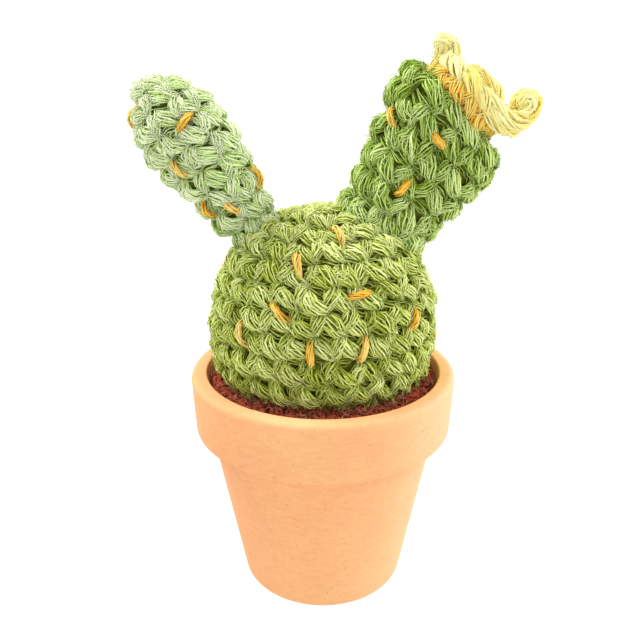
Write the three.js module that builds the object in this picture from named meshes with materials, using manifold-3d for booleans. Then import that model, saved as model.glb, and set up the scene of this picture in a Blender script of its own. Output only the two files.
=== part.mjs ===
// A crocheted prickly pear cactus in a clay pot: three stuffed pads, a flower and short yarn spines.
// Millimetres, +Z up, the front towards -Y. Heights are measured from the foot of the pot, on its axis.
import * as THREE from 'three';
import { mergeVertices } from 'three/addons/utils/BufferGeometryUtils.js';
import Module from 'manifold-3d';

const wasm = await Module();
wasm.setup();

// Space left between pieces that touch
const GAP = 0.3;
// Points closer than this are one point
const MERGED = 1e-4;

// The crochet: one stitch is as wide as one round is high
const STITCH = 5.6;
const CREST = 0.9;          // the legs of each V stand this far out of the fabric's middle
const GROOVE = -0.8;        // between two rounds
const BETWEEN = -0.5;       // between two stitches
const CENTRE = -0.2;        // between the two legs of one V
const LEG_SPREAD = 0.27;    // a leg's top, in stitches from the V's middle
const LEGS_PART = 0.32;     // where the legs are widest apart, in rounds from the upper groove
const LEGS_MEET = 0.76;     // where the legs meet
const SLANT = 0.3;          // each round is this many stitches round from the one below
const FIRST_ROUND = 6;      // stitches in the round at a tip
const NORMAL_STEP = 0.05;   // half the span over which a surface's normal is measured
const END_STEPS = 16;       // points of a pad's outline on its rounded end
const SIDE_STEPS = 6;       // and on the sides below that

// The clay pot
const POT_HEIGHT = 56.8;
const RIM_RADIUS = 32.5;
const BAND_HEIGHT = 14.7;
const BAND_FOOT_RADIUS = 32.0;
const NECK_RADIUS = 28.4;
const FOOT_RADIUS = 21.0;
const MOUTH_RADIUS = 28.7;
const NECK_INSIDE = 24.6;
const FLOOR_RADIUS = 16.8;
const FLOOR = 5.0;
const DRAIN_RADIUS = 5.0;
const LIP_ROUND = 1.4;
const BAND_ROUND = 1.0;
const FOOT_ROUND = 0.8;
const BAND_UNDERCUT = 0.5;
const POT_SIDES = 48;
const ARC_STEPS = 1;

// What the pot holds
const SOIL_TOP = 55.4;
const SOIL_EDGE = 54.2;
const SOIL_FOOT = 46.4;
const SOIL_PLAY = 0.5;      // round its edge, so that it drops in

// The main pad
const PAD_FOOT = 51.0;
const PAD_WIDEST = 66.0;
const PAD_HALF_WIDTH = 26.4;
const PAD_RISE = 29.6;      // from its widest height up to its top
const PAD_DROP = 27.0;      // how deep it would reach below its widest height, if its foot weren't flat
const PAD_DEPTH = 0.88;
const PAD_SQUARENESS = 2.3;

// The flower, in its own frame: the side pad's tip is its origin, and it faces along the pad's bent axis
// The disc's outline, as half-width and height, from its middle to its foot
const DISC_OUTLINE = [[0, 4.8], [3.4, 4.6], [6.8, 3.9], [9.3, 2.2], [8.9, -3.0]];
const PETAL_FOOT = 2.2;     // the height that the petals rise from
const FLOWER_SHIFT = 0.6;   // from the pad's tip towards the flower's lower end
const FLOWER_YARN = 2.5;
const FLOWER_STITCH = 4.6;
const PETAL_HALF = 3.9;
const PETAL_CURL = 1.6;
const PETAL_CUP = 1.2;
const PETAL_FULLNESS = 0.6; // 1 makes a petal's loop an oval, and less makes it squarer
const STRAND_APART = 1.6;   // the two strands inside each petal, from its middle
const STRAND_RADIUS = 1.35;
const STRAND_SHORT = 1.0;   // the strands end this far inside the loop's tip
// Each petal's direction round the flower, its rise and its twist in degrees, its length, and how far
// from the flower's middle it is rooted
const PETALS = [
  { azimuth: 26, rise: 60, twist: -58, length: 10.4, root: 8.8 },
  { azimuth: 98, rise: 44, twist: 6, length: 6.2, root: 7.6 },
  { azimuth: 165, rise: 42, twist: 25, length: 6.0, root: 7.6 },
  { azimuth: 232, rise: 42, twist: 10, length: 8.0, root: 7.6 },
  { azimuth: 306, rise: 38, twist: 18, length: 8.6, root: 7.6 },
];
const LOOP_STEPS = 12;
const LOOP_SIDES = 6;
const STRAND_STEPS = 3;
const STRAND_SIDES = 5;

// The spines: short stitches of golden yarn, pulled into the fabric
const SPINE_WIDTH = 2.5;
const SPINE_THICKNESS = 1.9;
const SPINE_TAPER = 0.9;    // a spine's last ring lies this far along a full oval's half-length
const SPINE_SIDES = 6;
const SPINE_STEPS = 5;
const SPINE_LENGTH = 6.2;
const SHORT_SPINE = 5.0;
const SPINE_PULL = 1.2;     // how deep a spine presses the fabric
const PULL_REACH = 2.6;
const PROBE_START = 8;      // how far above the fabric the height under a spine is measured from

const rightAngle = Math.PI / 2;
const fullTurn = Math.PI * 2;
const radians = THREE.MathUtils.degToRad;

// Surfaces that are crocheted in the round

// The points of a rounded end: from its tip, on the axis, down to its full half-width.
function roundedEnd(halfWidth, rise, squareness) {
  const points = [];
  for (let i = 0; i <= END_STEPS; i++) {
    const angle = rightAngle * (1 - i / END_STEPS);
    const width = halfWidth * Math.cos(angle) ** (2 / squareness);
    points.push([i === 0 ? 0 : width, rise * Math.sin(angle) ** (2 / squareness)]);
  }
  return points;
}

// A pad's outline, from its tip to its foot, measured along the fabric.
function meridian(points) {
  return new THREE.SplineCurve(points.map(([width, height]) => new THREE.Vector2(width, height)));
}

function mainPadOutline() {
  const points = roundedEnd(PAD_HALF_WIDTH, PAD_RISE, PAD_SQUARENESS)
    .map(([width, height]) => [width, PAD_WIDEST + height]);
  for (let i = 1; i <= SIDE_STEPS; i++) {
    const height = (PAD_FOOT - PAD_WIDEST) * i / SIDE_STEPS;
    points.push([PAD_HALF_WIDTH * Math.sqrt(1 - (height / PAD_DROP) ** 2), PAD_WIDEST + height]);
  }
  return meridian(points);
}

// A side pad widens from its foot up to its shoulder, and closes there in a rounded end.
function sidePadOutline({ footHalf, shoulderHalf, swell, shoulder, length, sunk, squareness }) {
  const points = roundedEnd(shoulderHalf, length - shoulder, squareness)
    .map(([width, height]) => [width, shoulder + height]);
  for (let i = 1; i <= SIDE_STEPS; i++) {
    const height = shoulder * (1 - i / SIDE_STEPS);
    points.push([footHalf + (shoulderHalf - footHalf) * (height / shoulder) ** swell, height]);
  }
  points.push([footHalf, -sunk]);
  return meridian(points);
}

function makePad({ outline, foot, lean = 0, depth, length = 1, bend = 0, shift = 0, stitch = STITCH }) {
  const axis = new THREE.Vector3(Math.sin(lean), 0, Math.cos(lean));
  const back = new THREE.Vector3(0, 1, 0);
  const across = new THREE.Vector3().crossVectors(back, axis);
  const reach = outline.getLength();
  return { outline, foot, axis, back, across, depth, length, bend, shift, stitch, reach, spines: [] };
}

// The place on a pad's fabric, at a distance from its tip and an angle round it (-90 degrees faces front).
function onFabric(pad, distance, angle) {
  const { x: halfWidth, y: height } = pad.outline.getPointAt(Math.min(distance / pad.reach, 1));
  const share = Math.max(height / pad.length, 0);
  const sideways = halfWidth * Math.cos(angle) + pad.shift * share ** 3;
  const rise = height - sideways * pad.bend * share ** 2;
  return pad.foot.clone()
    .addScaledVector(pad.across, sideways)
    .addScaledVector(pad.back, halfWidth * pad.depth * Math.sin(angle))
    .addScaledVector(pad.axis, rise);
}

function fabricNormal(pad, distance, angle) {
  const turn = NORMAL_STEP / Math.max(halfWidthAt(pad, distance), 1);
  const above = onFabric(pad, Math.max(distance - NORMAL_STEP, 0), angle);
  const below = onFabric(pad, distance + NORMAL_STEP, angle);
  const before = onFabric(pad, distance, angle - turn);
  const after = onFabric(pad, distance, angle + turn);
  return below.sub(above).cross(after.sub(before)).normalize();
}

function halfWidthAt(pad, distance) {
  return pad.outline.getPointAt(Math.min(distance / pad.reach, 1)).x;
}

function raised(pad, distance, angle, height) {
  const point = onFabric(pad, distance, angle);
  const pull = spinePull(pad, point);
  return point.addScaledVector(fabricNormal(pad, distance, angle), height - pull);
}

// How far the spines draw the fabric in at a point.
function spinePull(pad, point) {
  const nearest = new THREE.Vector3();
  let pull = 0;
  for (const { line } of pad.spines) {
    line.closestPointToPoint(point, true, nearest);
    pull = Math.max(pull, SPINE_PULL * Math.exp(-((point.distanceTo(nearest) / PULL_REACH) ** 2)));
  }
  return pull;
}

function stitchesInRound(pad, round) {
  if (round === 0) return FIRST_ROUND;
  const half = halfWidthAt(pad, (round + 0.5) * roundHeight(pad));
  const around = fullTurn * half * Math.sqrt((1 + pad.depth ** 2) / 2);
  return Math.max(FIRST_ROUND, Math.round(around / pad.stitch));
}

function roundsOf(pad) {
  return Math.round(pad.reach / pad.stitch);
}

function roundHeight(pad) {
  return pad.reach / roundsOf(pad);
}

// One ring of points: a height at each of the given places in every stitch of a round.
function stitchRing(pad, round, along, marks) {
  const count = stitchesInRound(pad, round);
  const start = (roundsOf(pad) - round) * SLANT;
  const distance = (round + along) * roundHeight(pad);
  const ring = [];
  for (let stitch = 0; stitch < count; stitch++) {
    for (const [place, height] of marks) {
      const angle = (stitch + place + start) / count * fullTurn - rightAngle;
      ring.push({ angle, point: raised(pad, distance, angle, height) });
    }
  }
  return ring;
}

const GROOVE_MARKS = [[-0.5, GROOVE], [0, GROOVE]];
const LEG_MARKS = [[-0.5, BETWEEN], [-LEG_SPREAD, CREST], [0, CENTRE], [LEG_SPREAD, CREST]];
const MEET_MARKS = [[-0.5, BETWEEN], [0, CREST]];

// The fabric's rings, tip first. The V of each stitch opens towards the tip.
function crochetRings(pad) {
  const rings = [];
  for (let round = 0; round < roundsOf(pad); round++) {
    if (round > 0) rings.push(stitchRing(pad, round, 0, GROOVE_MARKS));
    rings.push(stitchRing(pad, round, LEGS_PART, LEG_MARKS));
    rings.push(stitchRing(pad, round, LEGS_MEET, MEET_MARKS));
  }
  rings.push(stitchRing(pad, roundsOf(pad) - 1, 1, GROOVE_MARKS));
  return rings;
}

// A smooth skin over the crests, used to cut the pieces that lie against a pad.
function skinRings(pad) {
  const height = CREST + GAP;
  const marks = [[-0.5, height], [0, height]];
  const rings = [];
  for (let round = 0; round < roundsOf(pad); round++) {
    if (round > 0) rings.push(stitchRing(pad, round, 0, marks));
    rings.push(stitchRing(pad, round, 0.5, marks));
  }
  rings.push(stitchRing(pad, roundsOf(pad) - 1, 1, marks));
  return rings;
}

// Closed solids from rings of points

class RingSolid {
  constructor() {
    this.points = [];
    this.faces = [];
  }

  addPoint(point) {
    return this.points.push(point) - 1;
  }

  // Joins two rings whose points run the same way round, the first one nearer the tip.
  join(upper, lower) {
    const shift = nearestStart(upper, lower);
    let i = 0;
    let j = 0;
    while (i < upper.length || j < lower.length) {
      const upperNext = angleOf(upper, i + 1, 0);
      const lowerNext = angleOf(lower, j + 1, shift);
      const a = upper[i % upper.length].index;
      const b = lower[(j + shift) % lower.length].index;
      const goUpper = j >= lower.length || (i < upper.length && upperNext < lowerNext);
      if (goUpper) {
        i += 1;
        this.faces.push(a, b, upper[i % upper.length].index);
      } else {
        j += 1;
        this.faces.push(a, b, lower[(j + shift) % lower.length].index);
      }
    }
  }

  // Closes a ring with a fan to one point, above it or below it.
  close(ring, point, above) {
    const centre = this.addPoint(point);
    ring.forEach(({ index }, i) => {
      const next = ring[(i + 1) % ring.length].index;
      this.faces.push(...(above ? [centre, index, next] : [centre, next, index]));
    });
  }

  geometry() {
    const positions = new Float32Array(this.points.flatMap((point) => point.toArray()));
    const geometry = new THREE.BufferGeometry();
    geometry.setAttribute('position', new THREE.BufferAttribute(positions, 3));
    geometry.setIndex(this.faces);
    return geometry;
  }
}

// The angle of a ring's point, counted on past a full turn and from the start that fits the other ring.
function angleOf(ring, i, shift) {
  const turns = Math.floor((i + shift) / ring.length);
  const wrapped = ring[(i + shift) % ring.length].angle + turns * fullTurn;
  return wrapped - (ring.offset ?? 0);
}

function nearestStart(upper, lower) {
  let best = 0;
  let least = Infinity;
  lower.forEach(({ angle }, i) => {
    const turns = Math.round((angle - upper[0].angle) / fullTurn);
    const apart = Math.abs(angle - upper[0].angle - turns * fullTurn);
    if (apart < least) {
      least = apart;
      best = i;
      lower.offset = turns * fullTurn;
    }
  });
  upper.offset = 0;
  return best;
}

function ringSolid(rings, tip, foot) {
  const solid = new RingSolid();
  for (const ring of rings) {
    for (const mark of ring) mark.index = solid.addPoint(mark.point);
  }
  for (let i = 1; i < rings.length; i++) solid.join(rings[i - 1], rings[i]);
  solid.close(rings[0], tip, true);
  solid.close(rings[rings.length - 1], foot, false);
  return solid.geometry();
}

function padGeometry(pad) {
  return ringSolid(crochetRings(pad), onFabric(pad, 0, 0), footOf(pad, 0));
}

function padSkin(pad) {
  const rings = skinRings(pad);
  const tip = onFabric(pad, 0, 0).addScaledVector(pad.axis, CREST + GAP);
  for (const mark of rings[rings.length - 1]) mark.point.addScaledVector(pad.axis, -GAP);
  return ringSolid(rings, tip, footOf(pad, GAP));
}

function footOf(pad, drop) {
  const height = pad.outline.getPointAt(1).y - drop;
  return pad.foot.clone().addScaledVector(pad.axis, height);
}

// A tube of yarn along a curve, closed on itself or with flat ends.
function yarnTube(curve, steps, sides, radius) {
  const frames = curve.computeFrenetFrames(steps, curve.closed);
  const solid = new RingSolid();
  const rings = [];
  const count = curve.closed ? steps : steps + 1;
  for (let i = 0; i < count; i++) {
    const centre = curve.getPointAt(i / steps);
    const ring = roundRing(centre, frames.binormals[i], frames.normals[i], radius, radius, sides);
    for (const mark of ring) mark.index = solid.addPoint(mark.point);
    rings.push(ring);
  }
  for (let i = 1; i < count; i++) solid.join(rings[i - 1], rings[i]);
  if (curve.closed) {
    solid.join(rings[count - 1], rings[0]);
  } else {
    solid.close(rings[0], curve.getPointAt(0), true);
    solid.close(rings[count - 1], curve.getPointAt(1), false);
  }
  return solid.geometry();
}

// Points round an oval whose two directions, crossed, point back along the yarn.
function roundRing(centre, first, second, firstRadius, secondRadius, sides) {
  const ring = [];
  for (let side = 0; side < sides; side++) {
    const angle = side / sides * fullTurn;
    const point = centre.clone()
      .addScaledVector(first, firstRadius * Math.cos(angle))
      .addScaledVector(second, secondRadius * Math.sin(angle));
    ring.push({ angle, point });
  }
  return ring;
}

// Cuts and joins

function toManifold(geometry) {
  const bare = new THREE.BufferGeometry();
  bare.setAttribute('position', geometry.getAttribute('position'));
  if (geometry.index) bare.setIndex(geometry.index);
  const merged = mergeVertices(bare, MERGED);
  return new wasm.Manifold(new wasm.Mesh({
    numProp: 3,
    vertProperties: Float32Array.from(merged.getAttribute('position').array),
    triVerts: Uint32Array.from(merged.index.array),
  }));
}

function fromManifold(manifold) {
  const { vertProperties, triVerts } = manifold.getMesh();
  const geometry = new THREE.BufferGeometry();
  geometry.setAttribute('position', new THREE.BufferAttribute(Float32Array.from(vertProperties), 3));
  geometry.setIndex(Array.from(triVerts));
  return geometry;
}

function cutBy(geometry, cutter) {
  return fromManifold(toManifold(geometry).subtract(toManifold(cutter)));
}

function joined(geometries) {
  let solid = toManifold(geometries[0]);
  for (const geometry of geometries.slice(1)) solid = solid.add(toManifold(geometry));
  return fromManifold(solid);
}

// The pot and what it holds

function potGeometry() {
  const band = POT_HEIGHT - BAND_HEIGHT;
  const profile = new THREE.Path();
  profile.moveTo(DRAIN_RADIUS, 0);
  profile.lineTo(FOOT_RADIUS - FOOT_ROUND, 0);
  profile.absarc(FOOT_RADIUS - FOOT_ROUND, FOOT_ROUND, FOOT_ROUND, -rightAngle, 0);
  profile.lineTo(NECK_RADIUS, band - BAND_UNDERCUT);
  profile.lineTo(BAND_FOOT_RADIUS - BAND_ROUND, band);
  profile.absarc(BAND_FOOT_RADIUS - BAND_ROUND, band + BAND_ROUND, BAND_ROUND, -rightAngle, 0);
  profile.lineTo(RIM_RADIUS, POT_HEIGHT - LIP_ROUND);
  profile.absarc(RIM_RADIUS - LIP_ROUND, POT_HEIGHT - LIP_ROUND, LIP_ROUND, 0, rightAngle);
  profile.absarc(MOUTH_RADIUS + LIP_ROUND, POT_HEIGHT - LIP_ROUND, LIP_ROUND, rightAngle, Math.PI);
  profile.lineTo(NECK_INSIDE, band);
  profile.lineTo(FLOOR_RADIUS, FLOOR);
  profile.lineTo(DRAIN_RADIUS, FLOOR);
  profile.closePath();
  return turned(profile.getPoints(ARC_STEPS));
}

function turned(profile) {
  return new THREE.LatheGeometry(profile, POT_SIDES).rotateX(rightAngle);
}

// The pot's inside radius at a height.
function insideRadius(height) {
  const band = POT_HEIGHT - BAND_HEIGHT;
  const mouth = POT_HEIGHT - LIP_ROUND;
  if (height > band) return THREE.MathUtils.mapLinear(height, band, mouth, NECK_INSIDE, MOUTH_RADIUS);
  return THREE.MathUtils.mapLinear(height, FLOOR, band, FLOOR_RADIUS, NECK_INSIDE);
}

function stuffingGeometry() {
  const bottom = FLOOR + GAP;
  const top = SOIL_FOOT - GAP;
  const band = POT_HEIGHT - BAND_HEIGHT;
  const heights = [bottom, band, top];
  const profile = heights.map((height) => new THREE.Vector2(insideRadius(height) - GAP, height));
  profile.unshift(new THREE.Vector2(0, bottom));
  profile.push(new THREE.Vector2(0, top));
  return turned(profile);
}

function soilPad() {
  const inset = CREST + SOIL_PLAY;
  const edge = insideRadius(SOIL_EDGE) - inset;
  const points = [];
  for (let i = 0; i <= SIDE_STEPS; i++) {
    const share = i / SIDE_STEPS;
    points.push([edge * share, SOIL_TOP + (SOIL_EDGE - SOIL_TOP) * share ** 2]);
  }
  points.push([insideRadius(SOIL_FOOT) - inset, SOIL_FOOT]);
  return makePad({ outline: meridian(points), foot: new THREE.Vector3(), depth: 1, length: SOIL_TOP });
}

// The pads

const mainPad = makePad({
  outline: mainPadOutline(),
  foot: new THREE.Vector3(),
  depth: PAD_DEPTH,
  length: PAD_WIDEST + PAD_RISE,
});

const LEFT_LENGTH = 39.2;
const leftPad = makePad({
  outline: sidePadOutline({
    footHalf: 5.2, shoulderHalf: 9.9, shoulder: 24, length: LEFT_LENGTH,
    swell: 0.6, sunk: 4, squareness: 1.8,
  }),
  foot: new THREE.Vector3(-16.3, 0, 91.8),
  lean: radians(-34),
  depth: 0.72,
  length: LEFT_LENGTH,
  shift: -1.5,
});

const RIGHT_LENGTH = 30.0;
const rightPad = makePad({
  outline: sidePadOutline({
    footHalf: 10.2, shoulderHalf: 14.9, shoulder: 23, length: RIGHT_LENGTH,
    swell: 0.9, sunk: 5, squareness: 2.8,
  }),
  foot: new THREE.Vector3(14.4, 0, 93.9),
  lean: radians(34),
  depth: 0.6,
  length: RIGHT_LENGTH,
  bend: Math.tan(radians(12)),
  shift: -2.0,
});

// Where each spine lies: the round from the pad's tip, the angle round the pad in degrees (-90 faces front),
// and the slant in degrees from the line straight down the fabric
placeSpines(mainPad, SPINE_LENGTH, [
  [2.5, -76, 8], [4.0, -106, 19], [5.3, -71, 96], [6.0, -112, 49], [7.2, -134, 20],
  [7.6, -96, 4], [7.5, -71, -14], [6.7, -39, -33], [8.2, -6, 0],
  [2.8, 80, -20], [4.2, 112, 25], [4.5, 50, 70], [5.6, 84, 5], [6.4, 22, -25],
  [6.3, 128, 85], [7.5, 62, 15], [7.7, 104, -30], [5.3, 168, 10], [7.4, 160, 40],
]);
placeSpines(leftPad, SHORT_SPINE, [
  [3.0, -72, 100], [1.6, -172, -15], [4.4, -120, 7], [6.4, -134, -8], [6.9, -93, 25], [6.5, -10, -10],
  [3.4, 70, 30], [4.6, 118, -15], [5.9, 82, 60],
]);
placeSpines(rightPad, SHORT_SPINE, [
  [4.0, -149, 42], [3.6, -95, 69], [5.7, -99, 170],
  [3.4, 130, 20], [4.1, 72, -40], [5.2, 112, 15], [5.6, 50, 80],
]);

function placeSpines(pad, length, places) {
  for (const [round, degrees, slant] of places) {
    const distance = round * roundHeight(pad);
    const angle = radians(degrees);
    const middle = onFabric(pad, distance, angle);
    const outward = fabricNormal(pad, distance, angle);
    const above = onFabric(pad, distance - NORMAL_STEP, angle);
    const down = onFabric(pad, distance + NORMAL_STEP, angle).sub(above).normalize();
    const along = down.applyAxisAngle(outward, radians(slant));
    const side = new THREE.Vector3().crossVectors(outward, along);
    const half = along.clone().multiplyScalar(length / 2);
    const line = new THREE.Line3(middle.clone().sub(half), middle.clone().add(half));
    pad.spines.push({ outward, along, side, line });
  }
}

// A spine lies over the crests of the pad's mesh, and its ends run down into the fabric.
function spineGeometry(padMesh, { outward, along, side, line }) {
  const rings = [];
  for (let step = 0; step <= SPINE_STEPS; step++) {
    const share = 1 - step / SPINE_STEPS;
    const fullness = Math.sqrt(1 - (SPINE_TAPER * (2 * share - 1)) ** 2);
    const halfWidth = SPINE_WIDTH / 2 * fullness;
    const halfThick = SPINE_THICKNESS / 2 * fullness;
    const at = line.at(share, new THREE.Vector3());
    const height = clearHeight(padMesh, at, outward, along, side, halfWidth) + GAP + halfThick;
    const centre = at.addScaledVector(outward, height);
    rings.push(roundRing(centre, side, outward, halfWidth, halfThick, SPINE_SIDES));
  }
  return ringSolid(rings, middleOf(rings[0]), middleOf(rings[SPINE_STEPS]));
}

function middleOf(ring) {
  const sum = new THREE.Vector3();
  for (const { point } of ring) sum.add(point);
  return sum.divideScalar(ring.length);
}

// The highest that a mesh stands under a small patch of yarn, measured from the patch's own middle.
function clearHeight(mesh, at, outward, along, side, halfWidth) {
  const halfStep = SHORT_SPINE / SPINE_STEPS;
  const inward = outward.clone().negate();
  let highest = -Infinity;
  for (const ahead of [-halfStep, -halfStep / 2, 0, halfStep / 2, halfStep]) {
    for (const aside of [-1, -0.5, 0, 0.5, 1]) {
      const from = at.clone()
        .addScaledVector(outward, PROBE_START)
        .addScaledVector(along, ahead)
        .addScaledVector(side, aside * halfWidth);
      const [hit] = new THREE.Raycaster(from, inward).intersectObject(mesh);
      if (hit) highest = Math.max(highest, PROBE_START - hit.distance);
    }
  }
  return highest;
}

// The flower

function flowerFrame() {
  const lean = Math.atan2(rightPad.axis.x, rightPad.axis.z) + Math.atan(rightPad.bend);
  const lowerEnd = new THREE.Vector3(Math.cos(lean), 0, -Math.sin(lean));
  const foot = onFabric(rightPad, 0, 0).addScaledVector(lowerEnd, FLOWER_SHIFT);
  return { lean, foot };
}

function flowerDisc({ lean, foot }) {
  const outline = meridian(DISC_OUTLINE);
  return makePad({ outline, foot, lean, depth: 1, length: DISC_OUTLINE[0][1], stitch: FLOWER_STITCH });
}

// A place on a petal, in the flower's frame: how far out from its root, and how far to one side.
function onPetal({ azimuth, rise, twist, length, root: rooted }, out, aside) {
  const share = out / length;
  const turn = radians(twist) * share;
  const outward = new THREE.Vector3(Math.cos(radians(rise)), 0, Math.sin(radians(rise)));
  const inner = new THREE.Vector3(-outward.z, 0, outward.x);
  const cup = PETAL_CUP * (aside / PETAL_HALF) ** 2 - PETAL_CURL * share ** 3;
  return new THREE.Vector3(rooted, aside * Math.cos(turn), PETAL_FOOT)
    .addScaledVector(outward, out)
    .addScaledVector(inner, cup + aside * Math.sin(turn))
    .applyAxisAngle(new THREE.Vector3(0, 0, 1), -radians(azimuth));
}

// Each petal is a loop of yarn with two strands inside it.
function petalGeometries(petal) {
  const loop = [];
  for (let i = 0; i < LOOP_STEPS; i++) {
    const angle = i / LOOP_STEPS * fullTurn;
    const share = (1 - Math.cos(angle)) / 2;
    const aside = PETAL_HALF * Math.sign(Math.sin(angle)) * Math.abs(Math.sin(angle)) ** PETAL_FULLNESS;
    loop.push(onPetal(petal, petal.length * share, aside));
  }
  const outer = new THREE.CatmullRomCurve3(loop, true);
  const pieces = [yarnTube(outer, LOOP_STEPS, LOOP_SIDES, FLOWER_YARN / 2)];
  for (const aside of [-STRAND_APART, STRAND_APART]) {
    const strand = [0, 0.5, 1].map((share) => onPetal(petal, share * (petal.length - STRAND_SHORT), aside));
    const curve = new THREE.CatmullRomCurve3(strand);
    pieces.push(yarnTube(curve, STRAND_STEPS, STRAND_SIDES, STRAND_RADIUS));
  }
  return pieces;
}

function flowerGeometry() {
  const frame = flowerFrame();
  const place = new THREE.Matrix4().makeRotationY(frame.lean).setPosition(frame.foot);
  const placed = PETALS.flatMap(petalGeometries).map((geometry) => geometry.applyMatrix4(place));
  return cutBy(joined([padGeometry(flowerDisc(frame)), ...placed]), padSkin(rightPad));
}

const ROUGH = 0.95;         // clay and yarn are both matt
const root = new THREE.Group();

function addMesh(name, geometry, color) {
  geometry.deleteAttribute('normal');
  geometry.deleteAttribute('uv');
  const merged = mergeVertices(geometry, MERGED);
  merged.computeVertexNormals();
  const material = new THREE.MeshStandardMaterial({ color, roughness: ROUGH, metalness: 0 });
  const mesh = new THREE.Mesh(merged, material);
  mesh.name = name;
  root.add(mesh);
  return mesh;
}

const GREEN = 0x9bbf5c;
const BROWN = 0x5a2f26;
const CLAY = 0xe8a77c;
const WHITE = 0xe8e4da;
const YELLOW = 0xf3df72;
const GOLD = 0xedae3a;

addMesh('clay_pot', potGeometry(), CLAY);
addMesh('pot_stuffing', stuffingGeometry(), WHITE);
addMesh('soil_pad', cutBy(padGeometry(soilPad()), padSkin(mainPad)), BROWN);
addMesh('flower', flowerGeometry(), YELLOW);
const pads = {
  main: addMesh('main_pad', padGeometry(mainPad), GREEN),
  left: addMesh('left_pad', cutBy(padGeometry(leftPad), padSkin(mainPad)), GREEN),
  right: addMesh('right_pad', cutBy(padGeometry(rightPad), padSkin(mainPad)), GREEN),
};
for (const [side, pad] of [['main', mainPad], ['left', leftPad], ['right', rightPad]]) {
  pad.spines.forEach((spine, i) => {
    const number = String(i + 1).padStart(2, '0');
    addMesh(`${side}_spine_${number}`, spineGeometry(pads[side], spine), GOLD);
  });
}

// The origin is under the middle of the whole object's box, on the ground.
const box = new THREE.Box3().setFromObject(root);
const middle = box.getCenter(new THREE.Vector3());
root.position.set(-middle.x, -middle.y, -box.min.z);

export default root;
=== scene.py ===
# A crocheted prickly pear cactus in a terracotta pot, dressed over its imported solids.
# Lengths are in millimetres until a mesh is made. Heights are measured from the pot's foot, on its axis.
import math

import bpy
import numpy as np
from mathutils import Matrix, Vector


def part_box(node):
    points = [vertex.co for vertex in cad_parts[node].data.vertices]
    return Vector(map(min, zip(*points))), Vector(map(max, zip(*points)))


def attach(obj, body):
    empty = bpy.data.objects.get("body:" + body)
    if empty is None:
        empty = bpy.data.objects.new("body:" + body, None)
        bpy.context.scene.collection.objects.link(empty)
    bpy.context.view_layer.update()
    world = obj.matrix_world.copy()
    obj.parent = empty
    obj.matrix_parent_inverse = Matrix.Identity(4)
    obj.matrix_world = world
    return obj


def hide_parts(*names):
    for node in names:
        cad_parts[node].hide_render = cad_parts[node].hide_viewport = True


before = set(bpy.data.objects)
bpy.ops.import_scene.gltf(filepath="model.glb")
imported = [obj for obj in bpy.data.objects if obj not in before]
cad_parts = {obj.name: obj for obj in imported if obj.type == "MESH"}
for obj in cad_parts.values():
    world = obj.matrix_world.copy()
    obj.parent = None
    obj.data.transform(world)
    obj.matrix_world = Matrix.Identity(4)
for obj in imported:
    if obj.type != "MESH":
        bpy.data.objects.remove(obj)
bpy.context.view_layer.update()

METRES = 0.001
pot_low, pot_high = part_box("clay_pot")
POT_AXIS = np.array([(pot_low.x + pot_high.x) / 2 / METRES, 0.0, 0.0])
FULL_TURN = math.tau

# The crochet, as in the part's source: one stitch is as wide as one round is high
STITCH = 5.6
SLANT = 0.3
FIRST_ROUND = 6
NORMAL_STEP = 0.05
END_STEPS = 16
SIDE_STEPS = 6

# The pot, as in the part's source
POT_HEIGHT = 56.8
RIM_RADIUS = 32.5
BAND_HEIGHT = 14.7
BAND_FOOT_RADIUS = 32.0
NECK_RADIUS = 28.4
FOOT_RADIUS = 21.0
MOUTH_RADIUS = 28.7
NECK_INSIDE = 24.6
FLOOR_RADIUS = 16.8
FLOOR = 5.0
DRAIN_RADIUS = 5.0
LIP_ROUND = 1.4
INNER_ROUND = 0.5
BAND_ROUND = 1.0
FOOT_ROUND = 0.8
BAND_UNDERCUT = 0.5
SOIL_TOP = 55.4
SOIL_EDGE = 54.2
SOIL_FOOT = 46.4
SOIL_INSET = 1.4

# The main pad, as in the part's source
PAD_FOOT = 51.0
PAD_WIDEST = 66.0
PAD_HALF_WIDTH = 26.4
PAD_RISE = 29.6
PAD_DROP = 27.0
PAD_DEPTH = 0.88
PAD_SQUARENESS = 2.3

# How a spine draws the fabric in
SPINE_PULL = 1.2
PULL_REACH = 2.6
SPINE_LENGTH = 6.2
SHORT_SPINE = 5.0


# Pads crocheted in the round

def rounded_end(half_width, rise, squareness):
    """The outline of a rounded end, from its tip on the axis down to its full half-width."""
    points = []
    for i in range(END_STEPS + 1):
        angle = math.pi / 2 * (1 - i / END_STEPS)
        width = half_width * abs(math.cos(angle)) ** (2 / squareness)
        points.append((0 if i == 0 else width, rise * math.sin(angle) ** (2 / squareness)))
    return points


def main_outline():
    points = [(w, PAD_WIDEST + h) for w, h in rounded_end(PAD_HALF_WIDTH, PAD_RISE, PAD_SQUARENESS)]
    for i in range(1, SIDE_STEPS + 1):
        height = (PAD_FOOT - PAD_WIDEST) * i / SIDE_STEPS
        points.append((PAD_HALF_WIDTH * math.sqrt(1 - (height / PAD_DROP) ** 2), PAD_WIDEST + height))
    return points


def side_outline(foot_half, shoulder_half, shoulder, length, swell, sunk, squareness):
    points = [(w, shoulder + h) for w, h in rounded_end(shoulder_half, length - shoulder, squareness)]
    for i in range(1, SIDE_STEPS + 1):
        height = shoulder * (1 - i / SIDE_STEPS)
        points.append((foot_half + (shoulder_half - foot_half) * (height / shoulder) ** swell, height))
    points.append((foot_half, -sunk))
    return points


def inside_radius(height):
    """The pot's inside radius at a height."""
    band = POT_HEIGHT - BAND_HEIGHT
    if height > band:
        return float(np.interp(height, [band, POT_HEIGHT - LIP_ROUND], [NECK_INSIDE, MOUTH_RADIUS]))
    return float(np.interp(height, [FLOOR, band], [FLOOR_RADIUS, NECK_INSIDE]))


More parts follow.
